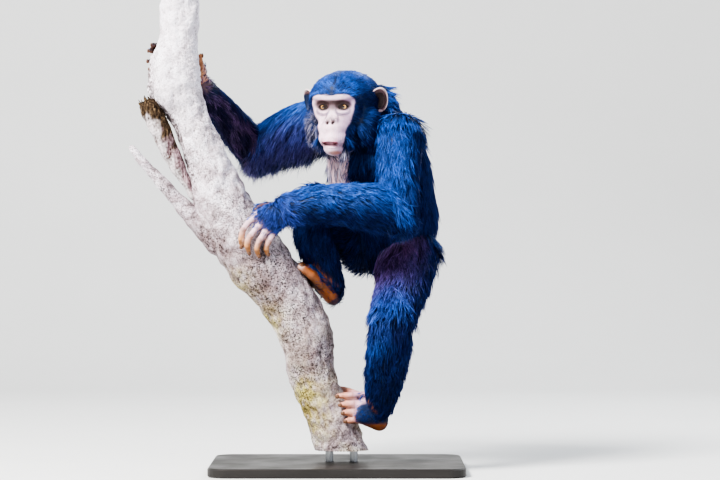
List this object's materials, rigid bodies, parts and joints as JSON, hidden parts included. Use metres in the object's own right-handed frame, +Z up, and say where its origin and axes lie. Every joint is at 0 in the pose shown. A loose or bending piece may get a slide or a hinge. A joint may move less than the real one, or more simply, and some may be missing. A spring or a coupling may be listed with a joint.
{
  "type": "chimpanzee model",
  "caption": "Life-size still model of a young chimpanzee gripping a leaning tree trunk with hands and feet, on a flat display stand.",
  "frame": {"origin": "middle of the underside of the stand's base", "axes": "+Z up, +X to the right and -Y towards the viewer in the reference view"},
  "size_m": [0.7432, 0.4798, 1.0727],
  "materials": {
    "fur": "glossy black hair with a blue cast",
    "face_skin": "matte bare skin",
    "bare_skin": "matte bare skin",
    "eye": "wet and glossy",
    "bark": "rough bark",
    "dead_wood": "rotten, splintered",
    "stand": "satin dark paint",
    "steel": "brushed"
  },
  "bodies": {
    "root": {"stand_base": "stand", "stand_rod_a": "steel", "stand_rod_b": "steel", "perch_trunk": "bark", "perch_branch": "bark", "perch_snag": "dead_wood", "eye_left": "eye", "eye_right": "eye", "head": "face_skin", "ear_left": "face_skin", "ear_right": "face_skin", "neck": "fur", "chest": "fur", "belly": "fur", "upper_arm_left": "fur", "forearm_left": "fur", "thigh_left": "fur", "shank_left": "fur", "hand_left": "bare_skin", "foot_left": "bare_skin", "upper_arm_right": "fur", "forearm_right": "fur", "thigh_right": "fur", "shank_right": "fur", "hand_right": "bare_skin", "foot_right": "bare_skin", "finger_left_index": "bare_skin", "finger_left_middle": "bare_skin", "finger_left_ring": "bare_skin", "finger_left_little": "bare_skin", "finger_left_thumb": "bare_skin", "finger_right_index": "bare_skin", "finger_right_middle": "bare_skin", "finger_right_ring": "bare_skin", "finger_right_little": "bare_skin", "finger_right_thumb": "bare_skin", "toe_left_second": "bare_skin", "toe_left_third": "bare_skin", "toe_left_fourth": "bare_skin", "toe_left_fifth": "bare_skin", "toe_left_big": "bare_skin", "toe_right_second": "bare_skin", "toe_right_third": "bare_skin", "toe_right_fourth": "bare_skin", "toe_right_fifth": "bare_skin", "toe_right_big": "bare_skin"}
  },
  "joints": []
}
